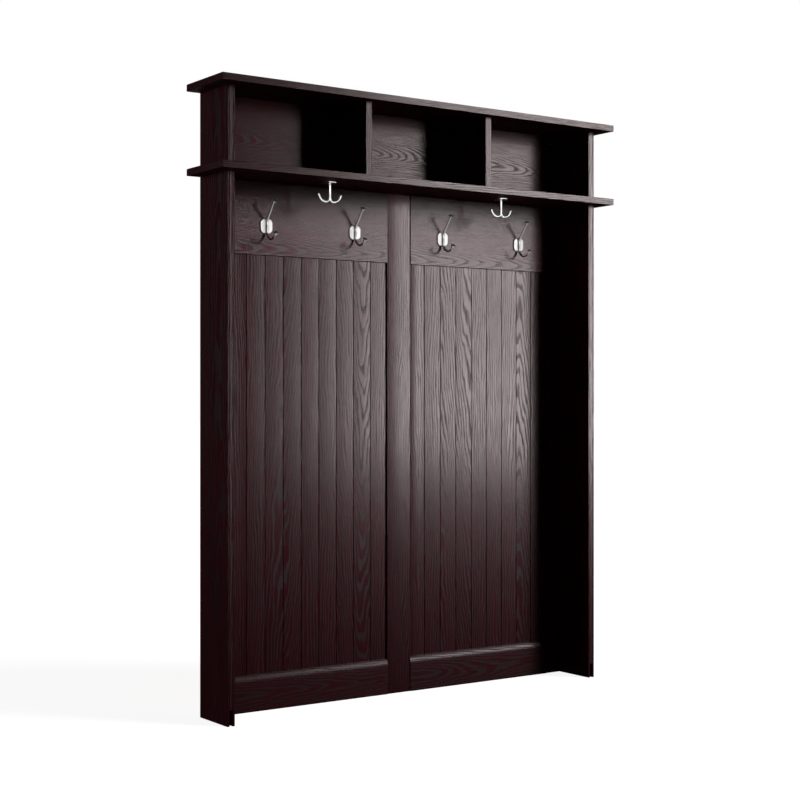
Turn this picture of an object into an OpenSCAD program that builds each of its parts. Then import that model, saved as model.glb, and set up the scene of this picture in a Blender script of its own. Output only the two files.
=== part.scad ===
// Hall tree: two tall gables carry a row of three cubbies, over a framed and planked back with coat hooks.
// The origin is on the floor at the centre of the footprint. X runs along the width, the front
// faces -Y, the wall is on the +Y side, and Z is up. All sizes are in millimetres.

/* [Overall] */
// Height of the whole piece
total_h = 2000; // [1900:10:2200]
// Width of the top board and the shelf board
total_w = 1600; // [1400:10:1800]
// Depth of the top board and the shelf board
total_d = 238; // [225:1:300]

/* [Boards and cubbies] */
// Thickness of the top board and the shelf board
board_t = 22; // [20:1:28]
// Clear height of the cubbies between the two boards
cubby_h = 244; // [200:2:300]
// How far the boards run past each gable at the side
side_overhang = 46; // [20:1:70]
// How far the boards run past the gables at the front
front_overhang = 55; // [30:1:60]
// Thickness of a divider between two cubbies
divider_t = 24; // [18:1:28]
// How far a divider's front edge stands behind the boards' front edge
divider_setback = 30; // [15:1:50]
// Thickness of the cubby back
cubby_back_t = 20; // [12:1:20]

/* [Gables] */
// Thickness of each gable skin
skin_t = 8; // [6:0.5:10]
// Thickness of the core between the two skins
core_t = 10.5; // [10:0.5:14]
// Depth of the lipping that closes the core at the front
lipping_d = 20; // [12:1:20]
// Height of the open slot between the skins at the floor
foot_slot_h = 50; // [20:1:80]

/* [Back frame] */
// Gap that the boards' overhang keeps between the frame and the wall
wall_gap = 3; // [0:1:5]
// Thickness of the rails
rail_t = 23; // [21:1:24]
// How far the rails stand in front of the stiles
rail_proud = 3; // [1:0.5:4]
// Height of the top rails
top_rail_h = 237; // [220:1:260]
// Height of the bottom rails
bottom_rail_h = 120; // [100:1:160]
// Width of the stile in the middle
centre_stile_w = 96; // [80:1:120]
// Width of the stile beside each gable
side_stile_w = 65; // [50:1:90]
// Height of the eased slope along the top of a bottom rail
rail_slope_h = 24; // [10:1:30]
// Depth of that slope at its top
rail_slope_d = 5; // [3:0.5:6]

/* [Planks] */
// How far the planks lie behind the face of the stiles
plank_recess = 6; // [4:0.5:7]
// Thickness of a plank
plank_t = 10; // [8:0.5:10]
// How much narrower the plank beside the centre stile shows
plank_trim = 3; // [0:1:10]
// Width of the chamfer on each edge of a plank, half of the V joint
plank_chamfer = 1.5; // [0.5:0.1:2.5]

/* [Hooks] */
// Distance between the two wall hooks of one panel
hook_pitch = 343; // [200:1:400]
// Height of the wall hook centres below the shelf board
hook_drop = 143; // [120:1:160]
// Width of a wall hook's plate
plate_w = 44; // [36:1:54]
// Height of a wall hook's plate
plate_h = 48; // [44:1:60]
// Thickness of a wall hook's plate
plate_t = 5; // [4:0.5:6]
// Diameter of the bent rod of a wall hook
rod_d = 7; // [6:0.5:9]
// Diameter of the button at each rod end
button_d = 16; // [12:1:18]
// Diameter of the round base of a ceiling hook
rose_d = 50; // [44:1:60]
// Length of a ceiling hook's stem, from the shelf to where its arms part
stem_l = 51; // [45:1:60]
// Diameter of a ceiling hook's stem
stem_d = 8.5; // [7:0.5:10]
// How far behind the boards' front edge the ceiling hooks hang
ceiling_hook_y = 98; // [80:1:110]

/* [Hidden] */
SIDES = ["left", "right"];
WALL_HOOKS = ["wall_hook_1", "wall_hook_2", "wall_hook_3", "wall_hook_4"];
PLANKS = 9;
function plank_name(side, i) = str("plank_", side, "_", i);

$fn = 48;
OAK = "#2b1b1e";
OAK_LIGHT = "#3a272a";
HARDBOARD = "#6b4a35";
BEECH = "#c9a06c";
NICKEL = "#c9c8c4";
ZINC = "#9ea3a8";

edge = 0.8;          // small chamfer on every visible edge
lipping_edge = 0.4;  // and on the lipping between the two skins
cut = 1;             // how far a cutting shape runs past the face that it cuts

// Heights
top_z = total_h - board_t;
shelf_top = top_z - cubby_h;
shelf_z = shelf_top - board_t;

// Depths, front to back
front_y = -total_d / 2;
back_y = total_d / 2;
gable_front = front_y + front_overhang;
frame_back = back_y - wall_gap;
rail_front = frame_back - rail_t;
stile_front = rail_front + rail_proud;
plank_front = stile_front + plank_recess;
plank_back = plank_front + plank_t;
cubby_back_front = frame_back - cubby_back_t;

// Widths, from the middle outwards
gable_out = total_w / 2 - side_overhang;
gable_t = 2 * skin_t + core_t;
gable_in = gable_out - gable_t;
core_x = gable_in + skin_t;
core_mid = core_x + core_t / 2;
panel_in = centre_stile_w / 2;
panel_out = gable_in - side_stile_w;
panel_mid = (panel_in + panel_out) / 2;
divider_x = (2 * gable_in - 2 * divider_t) / 6 + divider_t / 2;

// The planks run into a rebate at the back of the frame
rebate = 10;
rebate_play = 2;
tuck = rebate - rebate_play;
panel_top = shelf_z - top_rail_h;
panel_bottom = bottom_rail_h;
plank_pitch = (panel_out - panel_in + plank_trim) / PLANKS;
tongue_t = 3.4;
tongue_l = 5;
tongue_gap = 0.2;
sheet_t = 3;

// Hidden fixings
dowel_d = 6;
dowel_l = 30;
dowel_in_board = 12;
cubby_dowel_y = [-25, 75];
gable_dowel_y = [0, 100];
cam_y = [-42, 50];
cam_d = 15;
cam_floor = 1;
cam_depth = skin_t + core_t - cam_floor;
cam_drop = 34;
cam_bolt_d = 7;
cam_thread_d = 5;
cam_thread_l = 11;
frame_dowel_d = 8;
frame_dowel_l = 40;
frame_dowel_foot = 30;
bottom_dowel_inset = 40;
top_dowel_inset = 55;
frame_mid_y = (stile_front + frame_back) / 2;
stile_dowel_l = 35;
stile_dowel_in_gable = 15;
stile_dowels = 5;
stile_dowel_first = 120;
wall_hole_d = 5.5;
wall_hole_inset = 47;
wall_hole_drop = 30;

// Wall hooks
hook_z = shelf_z - hook_drop;
hook_xs = [-panel_mid - hook_pitch / 2, -panel_mid + hook_pitch / 2,
           panel_mid - hook_pitch / 2, panel_mid + hook_pitch / 2];
plate_corner = 15;
rod_sunk = 1;
rod_out = plate_t + rod_d / 2 - rod_sunk;   // the rod is let into the plate by rod_sunk
upper_bend_r = 40;
upper_bend = 38;
upper_start = 5;
upper_straight = 57;
lower_bend_r = 28;
lower_bend = 135;
lower_start = -16;
lower_straight = 10;
button_t = 3.5;
bead = 0.4;                         // how much wider than its bar a weld bead is
hook_bolt_d = 5;
hook_bolt_z = [-14, 14];
hook_bolt_bite = 4;
hook_bolt_head_d = 9.5;
hook_bolt_head_t = 3.2;
counterbore_d = 11;
counterbore_t = 4;

// Ceiling hooks
ceiling_y = front_y + ceiling_hook_y;
rose_t = 4;
arm_d = 8;
arm_start_x = 2;
arm_inner_r = 13;
arm_outer_r = 20;
arm_rise = 53;
arm_straight = 21;
arm_button_d = 11.5;
arm_button_t = 3;
screw_d = 4;
screw_head_d = 7.6;
screw_head_t = 2.2;
screw_l = 20;
screw_y = [-16, 16];

// ---- Shapes that several pieces share ----

// A rectangle from lo to hi with its four corners cut back by e
module eased_rect(lo, hi, e) {
  polygon([
    [lo[0] + e, lo[1]], [hi[0] - e, lo[1]], [hi[0], lo[1] + e], [hi[0], hi[1] - e],
    [hi[0] - e, hi[1]], [lo[0] + e, hi[1]], [lo[0], hi[1] - e], [lo[0], lo[1] + e]
  ]);
}

// A block from lo to hi with a small chamfer along all twelve edges
module eased_block(lo, hi, e = edge) {
  size = hi - lo;
  intersection() {
    translate([0, 0, lo[2]])
      linear_extrude(size[2]) eased_rect([lo[0], lo[1]], [hi[0], hi[1]], e);
    translate([0, hi[1], 0]) rotate([90, 0, 0])
      linear_extrude(size[1]) eased_rect([lo[0], lo[2]], [hi[0], hi[2]], e);
    translate([lo[0], 0, 0]) rotate([90, 0, 90])
      linear_extrude(size[0]) eased_rect([lo[1], lo[2]], [hi[1], hi[2]], e);
  }
}

// A plain box from lo to hi
module box(lo, hi) {
  translate(lo) cube(hi - lo);
}

// Draws its children on the right as they are, and mirrored for the left
module on_side(side) {
  mirror([side == "left" ? 1 : 0, 0, 0]) children();
}

// Rods standing on the points of a list, upright
module upright_rods(points, d, z0, z1) {
  for (p = points)
    translate([p[0], p[1], z0]) cylinder(d = d, h = z1 - z0);
}

// Rods lying along X
module cross_rod(x0, x1, y, z, d) {
  translate([x0, y, z]) rotate([0, 90, 0]) cylinder(d = d, h = x1 - x0);
}

// ---- Where the hidden fixings go ----

function both(xs) = concat([for (x = xs) -x], xs);
cubby_dowel_points = [for (x = both([divider_x, core_mid])) for (y = cubby_dowel_y) [x, y]];
gable_dowel_points = [for (x = both([core_mid])) for (y = gable_dowel_y) [x, y]];
cam_points = [for (x = both([core_mid])) for (y = cam_y) [x, y]];
frame_dowel_z = [frame_dowel_foot, bottom_rail_h - bottom_dowel_inset,
                 panel_top + top_dowel_inset, shelf_z - top_dowel_inset];
stile_dowel_step = (panel_top - stile_dowel_first) / (stile_dowels - 1);
stile_dowel_z = [for (i = [0 : stile_dowels - 1]) stile_dowel_first + i * stile_dowel_step];

// Dowels between the boards and what stands on or under them
module cubby_dowels() {
  upright_rods(cubby_dowel_points, dowel_d, shelf_top - dowel_in_board,
               shelf_top - dowel_in_board + dowel_l);
  upright_rods(cubby_dowel_points, dowel_d, top_z + dowel_in_board - dowel_l,
               top_z + dowel_in_board);
}

module gable_dowels() {
  upright_rods(gable_dowel_points, dowel_d, shelf_z + dowel_in_board - dowel_l,
               shelf_z + dowel_in_board);
}

// Dowels between the rails and the stiles of one panel, on the right
module frame_dowels() {
  half = frame_dowel_l / 2;
  for (z = frame_dowel_z) {
    cross_rod(panel_in - half, panel_in + half, frame_mid_y, z, frame_dowel_d);
    cross_rod(panel_out - half, panel_out + half, frame_mid_y, z, frame_dowel_d);
  }
}

// Dowels between the side stile and the gable, on the right
module stile_dowel_row() {
  end = gable_in + stile_dowel_in_gable;
  for (z = stile_dowel_z)
    cross_rod(end - stile_dowel_l, end, frame_mid_y, z, frame_dowel_d);
}

module both_sides() {
  for (s = SIDES) on_side(s) children();
}

// The round pockets that the cams sit in, and the drillings that their bolts run in
module cam_pockets() {
  both_sides()
    for (y = cam_y)
      cross_rod(gable_in - cut, gable_in + cam_depth, y, shelf_z - cam_drop, cam_d);
  upright_rods(cam_points, cam_bolt_d, shelf_z - cam_drop, shelf_z + cut);
}

// ---- Boards ----

module top_board() {
  color(OAK) difference() {
    eased_block([-total_w / 2, front_y, top_z], [total_w / 2, back_y, total_h]);
    cubby_dowels();
  }
}

module shelf_board() {
  color(OAK) difference() {
    eased_block([-total_w / 2, front_y, shelf_z], [total_w / 2, back_y, shelf_top]);
    cubby_dowels();
    gable_dowels();
    upright_rods(cam_points, cam_thread_d, shelf_z - cut, shelf_z + cam_thread_l);
    ceiling_screw_shanks();
  }
}

// ---- Cubby row ----

module divider(side) {
  color(OAK_LIGHT) difference() {
    on_side(side)
      eased_block([divider_x - divider_t / 2, front_y + divider_setback, shelf_top],
                  [divider_x + divider_t / 2, cubby_back_front, top_z]);
    cubby_dowels();
  }
}

// The cubby back is one board, with a hole at each end for the screws that hold the piece to the wall
module cubby_back() {
  color(OAK_LIGHT) difference() {
    eased_block([-gable_in, cubby_back_front, shelf_top], [gable_in, frame_back, top_z]);
    for (x = both([gable_in - wall_hole_inset]))
      translate([x, frame_back + cut, top_z - wall_hole_drop]) rotate([90, 0, 0])
        cylinder(d = wall_hole_d, h = cubby_back_t + 2 * cut);
  }
}

// ---- Gables: each is an outer skin, an inner skin, a core and a front lipping ----

module gable_skin(x0, z0, z1) {
  eased_block([x0, gable_front, z0], [x0 + skin_t, frame_back, z1]);
}

module gable_core(z0, z1) {
  box([core_x, gable_front + lipping_d, z0], [core_x + core_t, frame_back, z1]);
}

module gable_lipping(z0, z1) {
  eased_block([core_x, gable_front, z0], [core_x + core_t, gable_front + lipping_d, z1],
              lipping_edge);
}

module upper_gable_outer_skin(side) {
  color(OAK) on_side(side) gable_skin(core_x + core_t, shelf_top, top_z);
}

module upper_gable_inner_skin(side) {
  color(OAK) on_side(side) gable_skin(gable_in, shelf_top, top_z);
}

module upper_gable_core(side) {
  color(HARDBOARD) difference() {
    on_side(side) gable_core(shelf_top, top_z);
    cubby_dowels();
  }
}

module upper_gable_lipping(side) {
  color(OAK_LIGHT) on_side(side) gable_lipping(shelf_top, top_z);
}

module lower_gable_outer_skin(side) {
  color(OAK) on_side(side) gable_skin(core_x + core_t, 0, shelf_z);
}

module lower_gable_inner_skin(side) {
  color(OAK) difference() {
    on_side(side) gable_skin(gable_in, 0, shelf_z);
    cam_pockets();
    both_sides() stile_dowel_row();
  }
}

module lower_gable_core(side) {
  color(HARDBOARD) difference() {
    on_side(side) gable_core(foot_slot_h, shelf_z);
    gable_dowels();
    cam_pockets();
    both_sides() stile_dowel_row();
  }
}

module lower_gable_lipping(side) {
  color(OAK_LIGHT) on_side(side) gable_lipping(foot_slot_h, shelf_z);
}

// ---- Back frame ----

// The rebate behind the frame's inner edges, on the right, that takes the planks and the back sheet
module panel_rebate() {
  box([panel_in - rebate, plank_front, panel_bottom - rebate],
      [panel_out + rebate, frame_back + cut, panel_top + rebate]);
}

module centre_stile() {
  color(OAK_LIGHT) difference() {
    eased_block([-panel_in, stile_front, 0], [panel_in, frame_back, shelf_z]);
    both_sides() panel_rebate();
    both_sides() frame_dowels();
  }
}

module side_stile(side) {
  color(OAK_LIGHT) on_side(side) difference() {
    eased_block([panel_out, stile_front, 0], [gable_in, frame_back, shelf_z]);
    panel_rebate();
    frame_dowels();
    stile_dowel_row();
  }
}

module top_rail(side) {
  color(OAK_LIGHT) difference() {
    on_side(side) difference() {
      eased_block([panel_in, rail_front, panel_top], [panel_out, frame_back, shelf_z]);
      panel_rebate();
      frame_dowels();
    }
    for (x = hook_xs)
      for (z = hook_bolt_z)
        translate([x, frame_back, hook_z + z]) rotate([90, 0, 0]) {
          translate([0, 0, -cut]) cylinder(d = hook_bolt_d, h = rail_t + 2 * cut);
          translate([0, 0, -cut]) cylinder(d = counterbore_d, h = counterbore_t + cut);
        }
  }
}

// The bottom rail's front leans back in a slow curve along its top edge
slope_r = (rail_slope_h * rail_slope_h + rail_slope_d * rail_slope_d) / (2 * rail_slope_d);
slope_angle = asin(rail_slope_h / slope_r);
slope_steps = 8;
function slope_point(i) = let (a = slope_angle * i / slope_steps)
  [rail_front + slope_r * (1 - cos(a)), bottom_rail_h - rail_slope_h + slope_r * sin(a)];

module bottom_rail(side) {
  color(OAK_LIGHT) on_side(side) difference() {
    translate([panel_in, 0, 0]) rotate([90, 0, 90])
      linear_extrude(panel_out - panel_in)
        polygon(concat(
          [[frame_back, 0], [rail_front + edge, 0], [rail_front, edge]],
          [for (i = [0 : slope_steps]) slope_point(i)],
          [[frame_back, bottom_rail_h]]
        ));
    panel_rebate();
    frame_dowels();
  }
}

// ---- Planks: tongued and grooved, with a V joint at the front ----

function plank_edge(i) =
  i == 0 ? panel_in - tuck :
  i == PLANKS ? panel_out + tuck :
  panel_in - plank_trim + i * plank_pitch;

// Outline seen from above: the groove is on the side nearest the middle, the tongue on the other
module plank_outline(x0, x1, groove, tongue) {
  mid = (plank_front + plank_chamfer + plank_back) / 2;
  half = tongue_t / 2;
  difference() {
    polygon([
      [x0 + plank_chamfer, plank_front], [x1 - plank_chamfer, plank_front],
      [x1, plank_front + plank_chamfer], [x1, plank_back],
      [x0, plank_back], [x0, plank_front + plank_chamfer]
    ]);
    if (groove)
      translate([x0 - cut, mid - half - tongue_gap])
        square([tongue_l + tongue_gap + cut, tongue_t + 2 * tongue_gap]);
  }
  if (tongue)
    translate([x1, mid - half]) square([tongue_l, tongue_t]);
}

module plank(side, i) {
  color(i % 2 == 0 ? OAK : OAK_LIGHT) on_side(side)
    translate([0, 0, panel_bottom - tuck])
      linear_extrude(panel_top - panel_bottom + 2 * tuck)
        plank_outline(plank_edge(i - 1), plank_edge(i), i > 1, i < PLANKS);
}

// A thin sheet behind each panel holds its planks in the rebate
module panel_back(side) {
  color(HARDBOARD) on_side(side)
    box([panel_in - tuck, plank_back, panel_bottom - tuck],
        [panel_out + tuck, plank_back + sheet_t, panel_top + tuck]);
}

// ---- Wall hooks: a plate with one bent rod down its middle, and a button at each end ----

// Turns a shape drawn with X out from the wall and Y up so that it stands on the rail
module out_from_wall() {
  rotate([90, 0, -90]) children();
}

// A piece of round bar bent about the origin, from angle a0 through sweep, with a weld bead at each end
module bent_bar(r, bar_d, a0, sweep) {
  rotate([0, 0, a0]) rotate_extrude(angle = sweep) translate([r, 0]) circle(d = bar_d);
  for (a = [a0, a0 + sweep])
    rotate([0, 0, a]) translate([r, 0, 0]) sphere(d = bar_d + bead);
}

// A straight bar that starts at a point and runs at an angle, with a round button on its end
module bar_with_button(at, angle, l, bar_d, d, t) {
  translate(at) rotate([0, 0, angle]) rotate([0, 90, 0]) {
    cylinder(d = bar_d, h = l);
    translate([0, 0, l]) cylinder(d = d, h = t);
  }
}

module plate_outline() {
  w = plate_w / 2 - plate_corner;
  h = plate_h / 2 - plate_corner;
  square([plate_w, 2 * h], center = true);
  square([2 * w, plate_h], center = true);
  for (x = [-w, w])
    for (z = [-h, h])
      translate([x, z]) circle(r = plate_corner);
}

module wall_hook(x) {
  upper_end = [rod_out + upper_bend_r * (1 - cos(upper_bend)),
               upper_start + upper_bend_r * sin(upper_bend), 0];
  lower_end = [rod_out + lower_bend_r * (1 - cos(lower_bend)),
               lower_start - lower_bend_r * sin(lower_bend), 0];
  color(NICKEL) translate([x, rail_front, hook_z]) difference() {
    union() {
      rotate([90, 0, 0]) linear_extrude(plate_t) plate_outline();
      out_from_wall() {
        translate([rod_out + upper_bend_r, upper_start, 0])
          bent_bar(upper_bend_r, rod_d, 180 - upper_bend, upper_bend);
        bar_with_button(upper_end, 90 - upper_bend, upper_straight, rod_d, button_d, button_t);
        translate([rod_out, lower_start, 0]) rotate([-90, 0, 0])
          cylinder(d = rod_d, h = upper_start - lower_start);
        translate([rod_out + lower_bend_r, lower_start, 0])
          bent_bar(lower_bend_r, rod_d, 180, lower_bend);
        bar_with_button(lower_end, lower_bend - 90, lower_straight, rod_d, button_d, button_t);
      }
    }
    for (z = hook_bolt_z)
      translate([0, cut, z]) rotate([90, 0, 0]) cylinder(d = hook_bolt_d, h = hook_bolt_bite + cut);
  }
}

// Each wall hook is held by two bolts from behind the rail
module hook_bolts() {
  color(ZINC)
    for (x = hook_xs)
      for (z = hook_bolt_z)
        translate([x, frame_back - counterbore_t, hook_z + z]) rotate([90, 0, 0]) {
          cylinder(d = hook_bolt_d, h = rail_t - counterbore_t + hook_bolt_bite);
          translate([0, 0, -hook_bolt_head_t]) cylinder(d = hook_bolt_head_d, h = hook_bolt_head_t);
        }
}

// ---- Ceiling hooks: a round base, a stem, and two arms along the width ----

module ceiling_arm() {
  lowest = -stem_l - arm_inner_r;
  rise_x = arm_start_x + arm_inner_r + arm_outer_r * sin(arm_rise);
  rise_z = lowest + arm_outer_r * (1 - cos(arm_rise));
  rotate([90, 0, 0]) {
    translate([arm_start_x + arm_inner_r, -stem_l, 0]) bent_bar(arm_inner_r, arm_d, 180, 90);
    translate([arm_start_x + arm_inner_r, lowest + arm_outer_r, 0])
      bent_bar(arm_outer_r, arm_d, 270, arm_rise);
    bar_with_button([rise_x, rise_z, 0], arm_rise, arm_straight, arm_d, arm_button_d, arm_button_t);
  }
}

module ceiling_screw_shanks() {
  for (x = both([panel_mid]))
    for (y = screw_y)
      translate([x, ceiling_y + y, shelf_z - rose_t]) cylinder(d = screw_d, h = screw_l);
}

module ceiling_screws() {
  ceiling_screw_shanks();
  for (x = both([panel_mid]))
    for (y = screw_y)
      translate([x, ceiling_y + y, shelf_z - rose_t])
        cylinder(d1 = screw_head_d, d2 = screw_d, h = screw_head_t);
}

module ceiling_hook(side) {
  color(NICKEL) difference() {
    translate([side == "left" ? -panel_mid : panel_mid, ceiling_y, shelf_z]) {
      translate([0, 0, -rose_t]) cylinder(d = rose_d, h = rose_t);
      translate([0, 0, -stem_l - arm_d / 2]) cylinder(d = stem_d, h = stem_l + arm_d / 2 - rose_t / 2);
      both_sides() ceiling_arm();
    }
    ceiling_screws();
  }
}

module ceiling_hook_screws() {
  color(ZINC) ceiling_screws();
}

// ---- Dowels, cams and cam bolts ----

module wood_dowels() {
  color(BEECH) {
    cubby_dowels();
    gable_dowels();
    both_sides() frame_dowels();
    both_sides() stile_dowel_row();
  }
}

module cam_locks() {
  color(ZINC) difference() {
    both_sides()
      for (y = cam_y)
        cross_rod(gable_in + edge, gable_in + cam_depth, y, shelf_z - cam_drop, cam_d);
    upright_rods(cam_points, cam_bolt_d, shelf_z - cam_drop, shelf_z);
  }
}

module cam_bolts() {
  color(ZINC) {
    upright_rods(cam_points, cam_bolt_d, shelf_z - cam_drop, shelf_z);
    upright_rods(cam_points, cam_thread_d, shelf_z - cut, shelf_z + cam_thread_l);
  }
}

// ---- The nodes ----

top_board();
shelf_board();
cubby_back();
centre_stile();
for (s = SIDES) {
  divider(s);
  upper_gable_outer_skin(s);
  upper_gable_inner_skin(s);
  upper_gable_core(s);
  upper_gable_lipping(s);
  lower_gable_outer_skin(s);
  lower_gable_inner_skin(s);
  lower_gable_core(s);
  lower_gable_lipping(s);
  side_stile(s);
  top_rail(s);
  bottom_rail(s);
  panel_back(s);
  ceiling_hook(s);
  for (i = [1 : PLANKS])
    plank(s, i);
}
for (i = [0 : len(WALL_HOOKS) - 1])
  wall_hook(hook_xs[i]);
hook_bolts();
ceiling_hook_screws();
wood_dowels();
cam_locks();
cam_bolts();
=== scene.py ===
import math
import random
import bmesh
import bpy
from mathutils import Matrix, Vector


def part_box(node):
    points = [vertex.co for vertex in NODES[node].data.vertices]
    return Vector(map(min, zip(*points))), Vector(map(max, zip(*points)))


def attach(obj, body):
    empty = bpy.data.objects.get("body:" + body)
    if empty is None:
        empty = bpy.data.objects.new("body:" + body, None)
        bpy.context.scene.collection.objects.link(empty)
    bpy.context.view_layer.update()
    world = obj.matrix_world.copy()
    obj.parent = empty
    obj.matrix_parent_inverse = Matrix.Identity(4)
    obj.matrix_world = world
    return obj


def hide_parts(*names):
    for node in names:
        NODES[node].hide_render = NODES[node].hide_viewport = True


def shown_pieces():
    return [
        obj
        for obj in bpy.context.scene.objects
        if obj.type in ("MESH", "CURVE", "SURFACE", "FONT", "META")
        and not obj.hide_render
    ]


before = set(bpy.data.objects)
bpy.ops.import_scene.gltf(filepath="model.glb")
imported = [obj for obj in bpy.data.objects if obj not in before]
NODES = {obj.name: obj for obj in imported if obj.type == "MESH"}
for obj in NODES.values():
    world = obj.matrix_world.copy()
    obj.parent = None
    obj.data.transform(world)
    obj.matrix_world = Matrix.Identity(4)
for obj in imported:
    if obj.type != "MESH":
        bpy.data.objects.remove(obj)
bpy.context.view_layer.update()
SIDES = ("left", "right")


# ---- Gables ----
# Each side is a panel 26.5 mm thick: an outer and an inner skin of oak-veneered board on a chipboard
# core, with a solid oak lipping between the skins at the front. It comes in two heights, above and
# below the shelf, stained dark and sprayed with a satin lacquer thin enough to show the open pores.

AXES = {"X": Vector((1, 0, 0)), "Y": Vector((0, 1, 0)), "Z": Vector((0, 0, 1))}
STAIN = "#6f222e"            # latewood: the stain over the dense part of each ring
STAIN_PORES = "#330c13"      # earlywood: the stain collects in the pores and is darkest there
LACQUER_IOR = 1.5
LACQUER_ROUGHNESS = 0.138    # satin
PORE_ROUGHNESS = 0.25        # how much rougher the lacquer is where it sinks into a pore,
STREAK_ROUGHNESS = 0.07      # along a streak,
THIN_COAT_ROUGHNESS = 0.45   # and on the unseen underside of a board
PORE_DEPTH = 0.00008         # metres

# How large each pattern of the wood is, in mm: across the grain, into the board and along the grain.
# The real pores are 0.3 mm wide. They are drawn 0.7 mm wide, in bundles of 2.1 mm, so that they show.
TRUNK_BENDS = (120, 120, 420)
RING_WAVES = (34, 34, 170)
PORE_BUNDLES = (2.1, 2.1, 60)
PORES = (0.7, 0.7, 14)
STREAKS = (4.6, 4.6, 300)
CLOUDS = (70, 70, 500)
RING_DRIFT = 2.2             # how many years' growth the waves can shift a ring by


def linear(colour):
    """An sRGB hex colour as linear red, green and blue."""
    parts = [int(colour[i:i + 2], 16) / 255 for i in (1, 3, 5)]
    return [p / 12.92 if p <= 0.04045 else ((p + 0.055) / 1.055) ** 2.4 for p in parts]


def add(tree, kind, inputs=None, **settings):
    """Adds a node to a tree, with its settings, and with a value or a link for each input named."""
    new = tree.nodes.new(kind)
    for key, value in settings.items():
        setattr(new, key, value)
    for key, value in (inputs or {}).items():
        socket = new.inputs[key]
        if isinstance(value, bpy.types.NodeSocket):
            tree.links.new(value, socket)
        elif socket.type == "RGBA":
            socket.default_value = (*value, 1)
        else:
            socket.default_value = value
    return new


def blank_material(name):
    """A material with nothing in it but its output."""
    material = bpy.data.materials.new(name)
    material.use_nodes = True
    material.node_tree.nodes.clear()
    return material, material.node_tree


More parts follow.
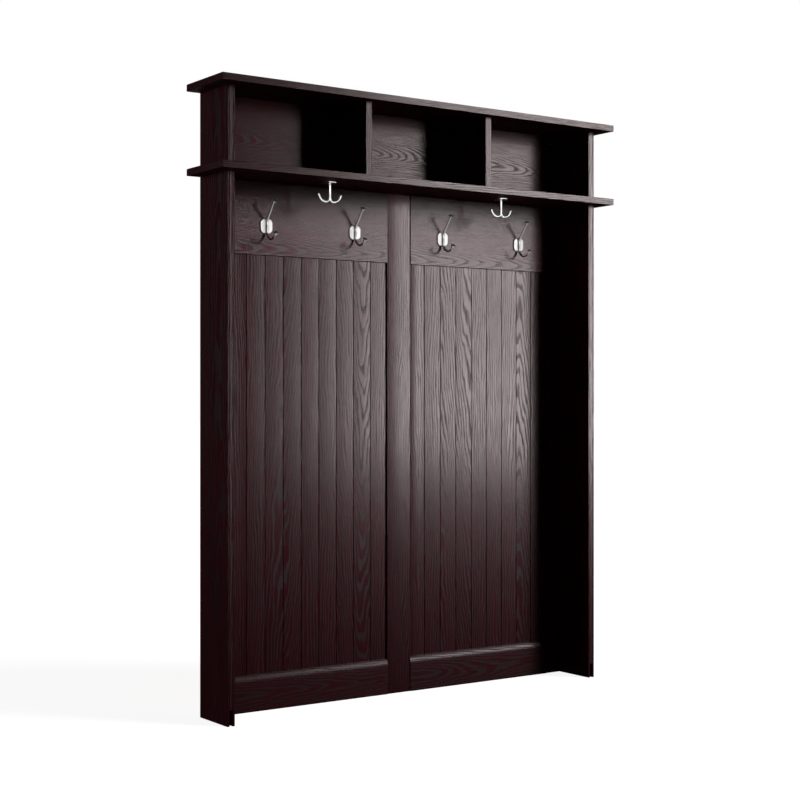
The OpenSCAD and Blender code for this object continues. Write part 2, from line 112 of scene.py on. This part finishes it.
def stained_oak(name, node, grain, face, heart, ring=7.0, taper=0.02, bend=38, cup=0.0, rub=0.0,
                gloss=0.5, thin_below=False):
    """Satin-lacquered stained oak for one piece. Growth rings are cones about the heart of the tree,
    which lies heart = (across, behind) mm from the middle of the piece, so a face cut near it shows
    cathedral arches and one cut far from it shows straight grain. grain and face name the axes of the
    fibres and of the show face. ring is the width of a year's growth and bend how far the trunk
    wanders, in mm, and taper is how fast the tree narrows. cup is how many mm the edges of the face
    stand back from its middle. gloss is the strength of the sheen, and rub how much rougher the
    lacquer is. thin_below is for a board whose underside has only a thin first coat."""
    material, tree = blank_material(name)
    low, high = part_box(node)
    behind, along = AXES[face], AXES[grain]
    turn = Matrix((behind.cross(along), behind, along))
    middle = turn @ ((Vector(low) + Vector(high)) * 500)
    half_width = abs((turn @ (Vector(high) - Vector(low))).x) * 500
    drift = random.Random(node).uniform(0, 9000)
    place = add(tree, "ShaderNodeTexCoord")
    log = add(tree, "ShaderNodeMapping", {
        "Vector": place.outputs["Object"], "Scale": (1000, 1000, 1000), "Rotation": turn.to_euler(),
        "Location": (-middle.x - heart[0], -middle.y - heart[1], -middle.z)}).outputs[0]
    aside = add(tree, "ShaderNodeVectorMath", {0: log, 1: (0, 0, drift)}).outputs[0]

    def noise(size, detail=2.0, roughness=0.5):
        """Noise stretched to size = (across, behind, along) mm."""
        scaled = add(tree, "ShaderNodeVectorMath", {0: aside, 1: [1 / s for s in size]},
                     operation="MULTIPLY")
        return add(tree, "ShaderNodeTexNoise", {
            "Vector": scaled.outputs[0], "Scale": 1.0, "Detail": detail, "Roughness": roughness})

    def maths(operation, a, b=0.0, c=0.0):
        return add(tree, "ShaderNodeMath", {0: a, 1: b, 2: c}, operation=operation).outputs[0]

    def ramp(value, low, high, to_low=0.0, to_high=1.0):
        return add(tree, "ShaderNodeMapRange", {
            "Value": value, "From Min": low, "From Max": high, "To Min": to_low, "To Max": to_high},
            interpolation_type="SMOOTHSTEP").outputs[0]

    # The trunk wanders a little along its length, so the rings do too, and each ring is a little wavy
    wander = add(tree, "ShaderNodeVectorMath", {
        0: noise(TRUNK_BENDS).outputs["Color"], 1: (-0.5, -0.5, -0.5)}).outputs[0]
    wander = add(tree, "ShaderNodeVectorMath", {0: wander, 1: (bend, bend, 0)},
                 operation="MULTIPLY").outputs[0]
    bent = add(tree, "ShaderNodeVectorMath", {0: log, 1: wander}).outputs[0]
    parts = add(tree, "ShaderNodeSeparateXYZ", {0: bent})
    flat = add(tree, "ShaderNodeCombineXYZ", {
        "X": parts.outputs["X"], "Y": parts.outputs["Y"]}).outputs[0]
    radius = add(tree, "ShaderNodeVectorMath", {0: flat}, operation="LENGTH").outputs["Value"]
    radius = maths("MULTIPLY_ADD", parts.outputs["Z"], taper, radius)
    waves = maths("MULTIPLY", noise(RING_WAVES).outputs["Fac"], RING_DRIFT)
    year = maths("FRACT", maths("MULTIPLY_ADD", radius, 1 / ring, waves))
    # Earlywood starts sharply at each new ring and has faded out by two thirds of it
    early = maths("MULTIPLY", ramp(year, 0.0, 0.12), ramp(year, 0.20, 0.62, 1.0, 0.0))
    # Pores run in bundles. Earlywood is all open pores, and latewood has only some of the bundles
    bundles = ramp(noise(PORE_BUNDLES, 1.5, 0.6).outputs["Fac"], 0.41, 0.60)
    fine = ramp(noise(PORES, 1.0).outputs["Fac"], 0.42, 0.62)
    dashes = maths("MULTIPLY", bundles, maths("MULTIPLY_ADD", fine, 0.5, 0.5))
    pores = maths("MULTIPLY", maths("MULTIPLY_ADD", early, 0.45, 0.30), dashes)
    pores = maths("MULTIPLY_ADD", early, 0.60, pores)
    # The stain takes more deeply in pores and streaks, and unevenly over a hand's breadth
    streaks = noise(STREAKS, 3.0, 0.62).outputs["Fac"]
    dark = maths("MULTIPLY_ADD", ramp(streaks, 0.3, 0.7), 0.30, pores)
    tone = add(tree, "ShaderNodeMix", {
        "Factor": maths("MINIMUM", dark, 1.0), "A": linear(STAIN), "B": linear(STAIN_PORES)},
        data_type="RGBA").outputs["Result"]
    tone = add(tree, "ShaderNodeHueSaturation", {
        "Color": tone, "Value": ramp(noise(CLOUDS).outputs["Fac"], 0.25, 0.75, 0.85, 1.15)}).outputs[0]
    rough = maths("MULTIPLY_ADD", pores, PORE_ROUGHNESS, LACQUER_ROUGHNESS + rub)
    rough = maths("MULTIPLY_ADD", streaks, STREAK_ROUGHNESS, rough)
    if thin_below:
        depth = add(tree, "ShaderNodeSeparateXYZ", {0: log}).outputs["Y"]
        underside = (low[2] - high[2]) * 500 - heart[1]
        below = ramp(depth, underside + 0.7, underside + 0.1)
        rough = maths("MULTIPLY_ADD", below, THIN_COAT_ROUGHNESS, rough)
    height = maths("SUBTRACT", 1.0, pores)
    bump = add(tree, "ShaderNodeBump", {"Height": height, "Strength": 1.0, "Distance": PORE_DEPTH})
    if cup:
        # The board has cupped a little, so its face leans outwards towards both edges
        across = add(tree, "ShaderNodeSeparateXYZ", {0: log}).outputs["X"]
        offset = maths("MULTIPLY_ADD", across, 1 / half_width, heart[0] / half_width)
        fall = maths("MULTIPLY", maths("POWER", maths("ABSOLUTE", offset), 2.0), -cup / 1000)
        bow = add(tree, "ShaderNodeBump", {"Height": fall, "Strength": 1.0, "Distance": 1.0})
        tree.links.new(bow.outputs[0], bump.inputs["Normal"])
    surface = add(tree, "ShaderNodeBsdfPrincipled", {
        "Base Color": tone, "Roughness": rough, "Normal": bump.outputs[0], "IOR": LACQUER_IOR,
        "Specular IOR Level": gloss})
    add(tree, "ShaderNodeOutputMaterial", {"Surface": surface.outputs[0]})
    return material


def finish(node, material):
    """Gives a CAD node its material."""
    for slot in NODES[node].material_slots:
        slot.material = material


def finish_oak(node, grain, face, heart, **wood):
    """Stains and lacquers a CAD node of solid oak."""
    finish(node, stained_oak(f"stained oak, {node}", node, grain, face, heart, **wood))


def finish_veneer(node, grain, face, heart, **wood):
    """Stains and lacquers a CAD node of oak-veneered board."""
    finish(node, stained_oak(f"stained oak veneer, {node}", node, grain, face, heart, **wood))


def raw_board(name, colour, speck, grit, roughness=0.75):
    """Raw board made of pressed wood: specks of another colour, grit mm across, and a rough surface."""
    material, tree = blank_material(name)
    place = add(tree, "ShaderNodeTexCoord").outputs["Object"]
    chips = add(tree, "ShaderNodeTexVoronoi", {"Vector": place, "Scale": 1000 / grit})
    fibres = add(tree, "ShaderNodeTexNoise", {"Vector": place, "Scale": 400 / grit, "Detail": 3.0})
    blend = add(tree, "ShaderNodeMath", {0: chips.outputs["Color"], 1: fibres.outputs["Fac"]},
                operation="MULTIPLY")
    tone = add(tree, "ShaderNodeMix", {
        "Factor": blend.outputs[0], "A": linear(colour), "B": linear(speck)}, data_type="RGBA")
    bump = add(tree, "ShaderNodeBump", {
        "Height": chips.outputs["Distance"], "Strength": 0.6, "Distance": grit / 8000})
    surface = add(tree, "ShaderNodeBsdfPrincipled", {
        "Base Color": tone.outputs["Result"], "Roughness": roughness, "Normal": bump.outputs[0]})
    add(tree, "ShaderNodeOutputMaterial", {"Surface": surface.outputs[0]})
    return material


# Sawn chipboard: pale chips about 2 mm across in brown dust
chipboard = raw_board("raw chipboard", "#8a6a48", "#c2a37a", 2.2)
for side in SIDES:
    for part in ("upper", "lower"):
        finish_veneer(f"{part}_gable_outer_skin_{side}", "Z", "X", (35, 75))
        finish_veneer(f"{part}_gable_inner_skin_{side}", "Z", "X", (60, 110))
        finish_oak(f"{part}_gable_lipping_{side}", "Z", "Y", (140, 60), rub=0.03, gloss=0.86)
        finish(f"{part}_gable_core_{side}", chipboard)


# ---- Back frame ----
# Solid oak: a stile in the middle, one beside each gable, and a rail above and below each panel.
# The rails stand 3 mm proud of the stiles, and all are dowelled and glued, then stained and lacquered.

STILE_CUP = 1.6              # mm that the edges of the centre stile stand back from its middle
TOP_RAIL_CUP = -1.6          # a top rail has cupped the other way: its edges stand forward

finish_oak("centre_stile", "Z", "Y", (190, 90), cup=STILE_CUP)
for side in SIDES:
    finish_oak(f"side_stile_{side}", "Z", "Y", (160, 80))
    finish_oak(f"top_rail_{side}", "X", "Y", (98, 38), ring=3.8, taper=0.05, bend=16, cup=TOP_RAIL_CUP)
    finish_oak(f"bottom_rail_{side}", "X", "Y", (5, 40), ring=5.0, taper=0.04, bend=22, rub=0.05)


# ---- Planks ----
# Nine tongued and grooved oak planks fill each panel, with a V joint between them. They stand loose in a
# rebate behind the frame, and a sheet of hardboard pinned behind holds them. Each plank is sawn from its
# own place in the log.

# For each plank, from the middle outwards: how far its heart lies across and behind it, in mm, and how
# fast the rings run out of its face, which is what bends them into arches
HEARTS = {
    "left": [(210, 80, 0.02), (6, 26, -0.09), (-60, 40, 0.06), (150, 90, 0.01), (-160, 80, 0.02),
             (-40, 26, -0.10), (50, 40, 0.05), (170, 90, 0.02), (-200, 80, 0.02)],
    "right": [(-190, 90, 0.02), (160, 80, 0.01), (-44, 34, 0.08), (40, 30, -0.09), (180, 90, 0.01),
              (-170, 70, 0.02), (140, 90, 0.02), (-30, 28, 0.09), (60, 40, 0.04)]}
PLANK_RING = 8.6             # mm
PLANK_CUP = 0.35             # mm
# Three of the planks at the ends of the panels have cupped by other amounts
CUPPED = {"plank_left_1": 0.3, "plank_right_1": 2.6, "plank_left_9": -0.9}
# Hardboard is brown pressed fibre, smooth
HARDBOARD, HARDBOARD_FIBRES = "#6b4a35", "#8a6446"
for side in SIDES:
    for number, (across, depth, taper) in enumerate(HEARTS[side], 1):
        node = f"plank_{side}_{number}"
        finish_oak(node, "Z", "Y", (across, depth), ring=PLANK_RING, taper=taper,
                   cup=CUPPED.get(node, PLANK_CUP))
    hardboard = raw_board(f"raw hardboard, panel back {side}", HARDBOARD, HARDBOARD_FIBRES, 1.0, 0.6)
    finish(f"panel_back_{side}", hardboard)


# ---- Shelf board and top board ----
# Two equal boards 22 mm thick lie across the gables and overhang them at both ends and at the front.
# Oak veneer on board, with lipped edges, grain along the length, stained and lacquered.

for node, heart in (("shelf_board", (30, 70)), ("top_board", (-40, 80))):
    finish_veneer(node, "X", "Z", heart, ring=3.2, bend=8, gloss=0.56, thin_below=True)


# ---- Cubbies ----
# Two upright dividers between the boards make three open cubbies. One veneered board closes them at the
# back, with its grain along the length, and has a hole near each end for the screws to the wall.

for side in SIDES:
    finish_veneer(f"divider_{side}", "Z", "X", (50, 90))
finish_veneer("cubby_back", "X", "Y", (10, 20), ring=4.4, taper=0.085, bend=26, gloss=0.37)


# ---- Wall hooks ----
# Four double coat hooks on the top rails. Each is one zinc casting, nickel plated: a rounded plate with a
# bar down its middle, bent out and up into a long hat prong and down and round into a short coat prong,
# with a button on the end of each.

HOOK_PLATE = Vector((0.044, 0.005, 0.048))
HOOK_PLATE_CORNER = 0.0149
HOOK_PLATE_RIM = 0.0022      # how far the front edge of the plate is rounded over
HOOK_PLATE_RISE = 0.0475     # from the underside of the coat prong up to the middle of the plate
HOOK_BAR_OUT = 0.0075        # from the rail's face to the middle of the bar
HOOK_BAR_RADIUS = 0.0043
HOOK_BAR_ON_PLATE = 0.020    # how much of the bar is straight before either prong bends away
PRONG_END_RADIUS = 0.0029
HAT_BEND, HAT_BEND_RADIUS = 38, 0.040
HAT_PRONG_LENGTH = 0.0565
COAT_BEND, COAT_BEND_RADIUS = 135, 0.028
COAT_PRONG_LENGTH = 0.0095
HOOK_BUTTON_RADIUS, HOOK_BUTTON_THICKNESS = 0.008, 0.0035
BAR_SIDES = 28
NICKEL, NICKEL_SHADE = "#d6d5d4", "#c0bebc"
SATIN_ROUGHNESS = 0.32


def buffed_plate(name, roughness, colour):
    """Metal plate, buffed: faint polishing lines, and a roughness and a tone that wander a little."""
    material, tree = blank_material(name)
    place = add(tree, "ShaderNodeTexCoord").outputs["Object"]
    # Buffing lines are some 0.1 mm apart; they are drawn 0.5 mm apart
    lines = add(tree, "ShaderNodeVectorMath", {0: place, 1: (2000, 2000, 160)}, operation="MULTIPLY")
    buffed = add(tree, "ShaderNodeTexNoise", {"Vector": lines.outputs[0], "Scale": 1.0, "Detail": 2.0})
    cloud = add(tree, "ShaderNodeTexNoise", {"Vector": place, "Scale": 90.0, "Detail": 2.0})
    rough = add(tree, "ShaderNodeMapRange", {
        "Value": cloud.outputs["Fac"], "From Min": 0.3, "From Max": 0.7,
        "To Min": roughness - 0.04, "To Max": roughness + 0.04})
    tone = add(tree, "ShaderNodeMix", {
        "Factor": cloud.outputs["Fac"], "A": linear(colour), "B": linear(NICKEL_SHADE)}, data_type="RGBA")
    bump = add(tree, "ShaderNodeBump", {
        "Height": buffed.outputs["Fac"], "Strength": 0.15, "Distance": 0.00002})
    surface = add(tree, "ShaderNodeBsdfPrincipled", {
        "Base Color": tone.outputs["Result"], "Metallic": 1.0, "Roughness": rough.outputs[0],
        "Normal": bump.outputs[0]})
    add(tree, "ShaderNodeOutputMaterial", {"Surface": surface.outputs[0]})
    return material


def draw_bar(bm, start, heading, radius, moves):
    """A round bar in the plane of Y and Z, drawn from start towards heading, in degrees from +Z
    towards -Y. Each move is (length, turn in degrees, radius at its end, steps)."""
    ring = bmesh.ops.create_circle(bm, segments=BAR_SIDES, radius=1.0)["verts"]
    edges = list({e for v in ring for e in v.link_edges})
    bmesh.ops.contextual_create(bm, geom=edges)
    at, angle, size = Vector(start), heading, radius

    def placed():
        return Matrix.Translation(at) @ Matrix.Rotation(math.radians(angle), 4, "X") @ Matrix.Scale(size, 4)

    now = placed()
    bmesh.ops.transform(bm, matrix=now, verts=ring)
    for length, turn, end_size, steps in moves:
        start_size = size
        for step in range(steps):
            half = math.radians(angle + turn / steps / 2)
            at = at + Vector((0, -math.sin(half), math.cos(half))) * (length / steps)
            angle += turn / steps
            size = start_size + (end_size - start_size) * (step + 1) / steps
            new = bmesh.ops.extrude_edge_only(bm, edges=edges)["geom"]
            ring = [g for g in new if isinstance(g, bmesh.types.BMVert)]
            edges = [g for g in new if isinstance(g, bmesh.types.BMEdge)]
            bmesh.ops.transform(bm, matrix=placed() @ now.inverted(), verts=ring)
            now = placed()
    bmesh.ops.contextual_create(bm, geom=edges)


def button(radius, thickness):
    """Moves that end a bar of 3 to 5 mm radius in a round button with a neck, rounded rims and a
    shallow dish."""
    return [(0.0008, 0, radius * 0.62, 2), (0.0004, 0, radius * 0.93, 1), (0.0005, 0, radius, 1),
            (thickness - 0.0012, 0, radius, 1), (0.0005, 0, radius * 0.94, 1),
            (0.0002, 0, radius * 0.86, 1), (-0.0006, 0, radius * 0.5, 2), (-0.0001, 0, radius * 0.1, 1)]


def arc(radius, degrees):
    """The length of an arc."""
    return radius * math.radians(degrees)


def make_piece(name, bm, material, node):
    """Turns a bmesh into a smooth-shaded piece that stands for a CAD node."""
    bmesh.ops.recalc_face_normals(bm, faces=bm.faces[:])
    mesh = bpy.data.meshes.new(name)
    bm.to_mesh(mesh)
    bm.free()
    mesh.materials.append(material)
    mesh.shade_smooth()
    mesh.set_sharp_from_angle(angle=math.radians(38))
    piece = bpy.data.objects.new(name, mesh)
    bpy.context.scene.collection.objects.link(piece)
    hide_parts(node)
    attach(piece, "root")
    return piece


# Satin: the studio is reflected softly
hook_nickel = buffed_plate("satin nickel plate", SATIN_ROUGHNESS, NICKEL)
for number in range(1, 5):
    node = f"wall_hook_{number}"
    low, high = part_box(node)
    centre_x, rail_y = (low[0] + high[0]) / 2, high[1]
    bm = bmesh.new()
    bmesh.ops.create_cube(bm, size=1.0)
    bmesh.ops.scale(bm, vec=HOOK_PLATE, verts=bm.verts)
    bmesh.ops.translate(bm, vec=(0, -HOOK_PLATE.y / 2, 0), verts=bm.verts)
    corners = [e for e in bm.edges if abs(e.verts[0].co.y - e.verts[1].co.y) > 0.001]
    bmesh.ops.bevel(bm, geom=corners, offset=HOOK_PLATE_CORNER, offset_type="OFFSET", affect="EDGES",
                    segments=10, profile=0.5, material=-1)
    rim = [e for e in bm.edges if all(v.co.y < -HOOK_PLATE.y + 0.0001 for v in e.verts)]
    bmesh.ops.bevel(bm, geom=rim, offset=HOOK_PLATE_RIM, offset_type="OFFSET", affect="EDGES",
                    segments=5, profile=0.5, material=-1)
    # The hat prong's bar runs up from low on the plate, and the coat prong's down from its middle
    straight = (HOOK_BAR_ON_PLATE, 0, HOOK_BAR_RADIUS, 2)
    draw_bar(bm, (0, -HOOK_BAR_OUT, -0.015), 0, HOOK_BAR_RADIUS, [
        straight, (arc(HAT_BEND_RADIUS, HAT_BEND), HAT_BEND, 0.0038, 10),
        (HAT_PRONG_LENGTH, 0, PRONG_END_RADIUS, 8), *button(HOOK_BUTTON_RADIUS, HOOK_BUTTON_THICKNESS)])
    draw_bar(bm, (0, -HOOK_BAR_OUT, 0.004), 180, HOOK_BAR_RADIUS, [
        straight, (arc(COAT_BEND_RADIUS, COAT_BEND), -COAT_BEND, 0.0033, 26),
        (COAT_PRONG_LENGTH, 0, PRONG_END_RADIUS, 3), *button(HOOK_BUTTON_RADIUS, HOOK_BUTTON_THICKNESS)])
    bmesh.ops.translate(bm, vec=(centre_x, rail_y, low[2] + HOOK_PLATE_RISE), verts=bm.verts)
    make_piece(f"double_coat_hook_{number}", bm, hook_nickel, node)


# ---- Ceiling hooks ----
# One anchor-shaped hook hangs under the shelf in front of each panel: a round rose, a stem and two arms
# that run along the width and end in small buttons. Cast zinc, nickel plated and polished.

ROSE_RADIUS, ROSE_THICKNESS = 0.025, 0.004
STEM_RADIUS = 0.0050
STEM_LENGTH = 0.051          # from the shelf down to where the arms part
ARM_RADIUS = 0.0044
ARM_INNER_RADIUS = 0.0135    # of the quarter turn out of the stem
ARM_OUTER_RADIUS, ARM_RISE = 0.0280, 64    # of the turn up to the button, and its degrees
ARM_BUTTON_RADIUS, ARM_BUTTON_THICKNESS = 0.0060, 0.0030
POLISHED_NICKEL = "#f2f1f0"
POLISHED_ROUGHNESS = 0.22


def lathe(bm, outline):
    """Spins an outline of (radius, depth) points about Z. It starts and ends on Z."""
    points = [bm.verts.new((radius, 0, -depth)) for radius, depth in outline]
    edges = [bm.edges.new(pair) for pair in zip(points, points[1:])]
    bmesh.ops.spin(bm, geom=points + edges, cent=(0, 0, 0), axis=(0, 0, 1), angle=math.tau, steps=48,
                   use_merge=True)
    bmesh.ops.remove_doubles(bm, verts=bm.verts[:], dist=1e-6)


# Polished: brighter than the wall hooks, and reflects more sharply
ceiling_nickel = buffed_plate("polished nickel plate", POLISHED_ROUGHNESS, POLISHED_NICKEL)
for side in SIDES:
    node = f"ceiling_hook_{side}"
    low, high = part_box(node)
    bm = bmesh.new()
    # The rose, with a rounded rim, then a raised ring where the stem leaves it, then the stem
    lathe(bm, [
        (0, 0), (ROSE_RADIUS - 0.0004, 0), (ROSE_RADIUS, 0.0004), (ROSE_RADIUS, ROSE_THICKNESS - 0.0014),
        (ROSE_RADIUS - 0.0004, ROSE_THICKNESS - 0.0005), (ROSE_RADIUS - 0.0014, ROSE_THICKNESS),
        (0.0080, ROSE_THICKNESS), (0.0075, ROSE_THICKNESS + 0.0004), (0.0070, 0.0060),
        (0.0061, 0.0070), (0.0053, 0.0080), (STEM_RADIUS, 0.0100), (STEM_RADIUS, STEM_LENGTH),
        (0.0040, STEM_LENGTH + 0.0024), (0.0018, STEM_LENGTH + 0.0038), (0, STEM_LENGTH + 0.0042)])
    for facing in (90, -90):
        arm = bmesh.new()
        draw_bar(arm, (0, -0.0010, -STEM_LENGTH + 0.008), 180, 0.0040, [
            (0.0070, 0, ARM_RADIUS, 2), (arc(ARM_INNER_RADIUS, 90), -90, 0.0045, 16),
            (arc(ARM_OUTER_RADIUS, ARM_RISE), -ARM_RISE, ARM_RADIUS, 16), (0.0030, 0, ARM_RADIUS, 1),
            (0.0020, 0, 0.0050, 1), *button(ARM_BUTTON_RADIUS, ARM_BUTTON_THICKNESS)])
        sideways = Matrix.Rotation(math.radians(facing), 3, "Z")
        bmesh.ops.rotate(arm, matrix=sideways, verts=arm.verts[:])
        spare = bpy.data.meshes.new("arm")
        arm.to_mesh(spare)
        arm.free()
        bm.from_mesh(spare)
        bpy.data.meshes.remove(spare)
    bmesh.ops.translate(bm, vec=((low[0] + high[0]) / 2, (low[1] + high[1]) / 2, high[2]),
                        verts=bm.verts[:])
    make_piece(f"anchor_hook_{side}", bm, ceiling_nickel, node)


# ---- Fixings ----
# Zinc-plated steel bolts, screws and cams, and fluted beech dowels, all inside the boards. The zinc is
# bright and slightly blue, and the dowels are pale with darker flecks.

zinc = buffed_plate("bright zinc plate", 0.30, "#b9c0c6")
for node in ("hook_bolts", "ceiling_hook_screws", "cam_locks", "cam_bolts"):
    finish(node, zinc)
finish("wood_dowels", raw_board("raw beech", "#c49a6c", "#a87f52", 1.2, 0.7))


# ---- Floor, light and camera ----
# The hall tree stands on a plain white studio floor before a white backdrop. Two softboxes on one stand
# to the right of the camera light its front, and their reflection is the soft sheen down the back. The
# camera stands to the left, at half height.

KEY_STAND = (4.91, -5.01)    # metres from the middle of the hall tree, in plan
KEY_AIM = (-3.04, 4.46)      # the point past the hall tree that they face
KEY_WIDTH = 2.80
KEY_COLOUR = (1.0, 0.915, 0.92)
KEY_SPREAD = math.radians(34)
WHITE = (1, 1, 1)


def show(name, data):
    """Puts a lamp, a mesh or a camera in the scene."""
    thing = bpy.data.objects.new(name, data)
    bpy.context.scene.collection.objects.link(thing)
    return thing


def aim(thing, target):
    """Turns a lamp or a camera to face a point."""
    thing.rotation_euler = (Vector(target) - thing.location).to_track_quat("-Z", "Y").to_euler()


def softbox(name, at, target, size, watts, colour=WHITE):
    """A rectangular softbox, size = (width, height) in metres, that the camera doesn't see."""
    lamp = bpy.data.lights.new(name, "AREA")
    lamp.shape = "RECTANGLE"
    lamp.size, lamp.size_y = size
    lamp.energy, lamp.color = watts, colour
    thing = show(name, lamp)
    thing.location = at
    thing.visible_camera = False
    aim(thing, target)
    return thing


def key_softbox(name, height, aim_height, size, watts):
    """A gridded softbox on the key stand, with its middle at height, facing a point at aim_height."""
    thing = softbox(name, (*KEY_STAND, height), (*KEY_AIM, aim_height), size, watts, KEY_COLOUR)
    thing.data.spread = KEY_SPREAD
    return thing


def light_only(lamp, things):
    """Flags a lamp so that it lights only these things."""
    lit = bpy.data.collections.new("lit by " + lamp.name)
    for thing in things:
        lit.objects.link(thing)
    lamp.light_linking.receiver_collection = lit


def nodes_named(*starts):
    """The CAD nodes whose names start with any of these."""
    return [piece for node, piece in NODES.items() if node.startswith(starts)]


TOP_RAILS = nodes_named("top_rail")
SHADED = TOP_RAILS + nodes_named("top_board", "shelf_board", "cubby_back", "divider", "upper_gable")
HOOKS = [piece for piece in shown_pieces() if piece.name.startswith(("double_coat_hook", "anchor_hook"))]

# The lower softbox is flagged off the boards, rails and cubbies, so the shade under each board stays deep
key_low = key_softbox("lower key softbox", 0.90, 0.90, (KEY_WIDTH, 0.80), 2.50)
light_only(key_low, [piece for piece in NODES.values() if piece not in SHADED])
key_high = key_softbox("upper key softbox", 2.60, 1.10, (KEY_WIDTH, 2.60), 7.3)
light_only(key_high, [piece for piece in NODES.values() if piece not in TOP_RAILS])
# The top rails get half of the upper one, and the rest of their light comes over it from higher up
key_rails = key_softbox("rail softbox", 2.60, 1.10, (KEY_WIDTH, 2.60), 3.2)
light_only(key_rails, TOP_RAILS)
high_rails = softbox("high rail softbox", (4.80, -5.11, 3.80), (*KEY_AIM, -0.80), (KEY_WIDTH, 2.40), 13.0)
high_rails.data.spread = KEY_SPREAD
light_only(high_rails, TOP_RAILS)
# Two cards and the bright floor are what the nickel reflects
for name, at, size, watts in (("front card", (-0.9, -4.2, 2.3), (4.4, 3.0), 96),
                              ("right card", (3.4, -2.4, 2.3), (4.4, 3.0), 84),
                              ("floor card", (0, -1.6, 0.05), (4.0, 4.0), 44)):
    light_only(softbox(name, at, (0, 0, 1.6), size, watts), HOOKS)
# One softbox fills in the left side, and one behind lights only the back
softbox("fill softbox", (-4.8, 2.2, 1.7), (-0.7, 0, 1.2), (3.0, 2.4), 22, KEY_COLOUR)
light_only(softbox("back softbox", (1.5, 5.0, 2.6), (0, 0, 1.0), (3.0, 2.0), 160), NODES.values())

# The floor is matt white paper, bright enough to run into the backdrop without an edge
bm = bmesh.new()
bmesh.ops.create_grid(bm, x_segments=1, y_segments=1, size=60)
floor_mesh = bpy.data.meshes.new("floor")
bm.to_mesh(floor_mesh)
bm.free()
floor_white, tree = blank_material("white studio floor")
paper = add(tree, "ShaderNodeBsdfDiffuse", {"Color": (0.8, 0.8, 0.8)})
glow = add(tree, "ShaderNodeEmission", {"Color": WHITE, "Strength": 0.90})
both = add(tree, "ShaderNodeAddShader", {0: paper.outputs[0], 1: glow.outputs[0]})
add(tree, "ShaderNodeOutputMaterial", {"Surface": both.outputs[0]})
floor_mesh.materials.append(floor_white)
floor = show("floor", floor_mesh)
floor.visible_diffuse = False
floor.visible_glossy = False
# The studio's overhead light falls on the floor from the right and leaves a faint shadow on the left
overhead = bpy.data.lights.new("floor light", "SUN")
overhead.energy, overhead.angle = 1.1, math.radians(22)
floor_light = show("floor light", overhead)
floor_light.location = (3.0, -3.0, 2.6)
aim(floor_light, (0, 0, 0))
light_only(floor_light, [floor])

# The backdrop is white to the camera, and the room gives the hall tree only a trace of light
world = bpy.data.worlds.new("studio")
bpy.context.scene.world = world
world.use_nodes = True
tree = world.node_tree
tree.nodes.clear()
seen = add(tree, "ShaderNodeLightPath")
room = add(tree, "ShaderNodeBackground", {"Color": WHITE, "Strength": 0.010})
backdrop = add(tree, "ShaderNodeBackground", {"Color": WHITE, "Strength": 1.0})
mixed = add(tree, "ShaderNodeMixShader", {
    0: seen.outputs["Is Camera Ray"], 1: room.outputs[0], 2: backdrop.outputs[0]})
add(tree, "ShaderNodeOutputWorld", {"Surface": mixed.outputs[0]})
bpy.context.scene.view_settings.view_transform = "Standard"

# A level camera, turned 35 degrees to the front of the hall tree
lens = bpy.data.cameras.new("camera")
lens.sensor_width, lens.lens = 36.0, 69.5
lens.shift_y = 0.0011
camera = show("camera", lens)
camera.location = (-3.0422, -4.2557, 1.0030)
camera.rotation_euler = (math.radians(90), 0, math.radians(-35.007))
bpy.context.scene.camera = camera
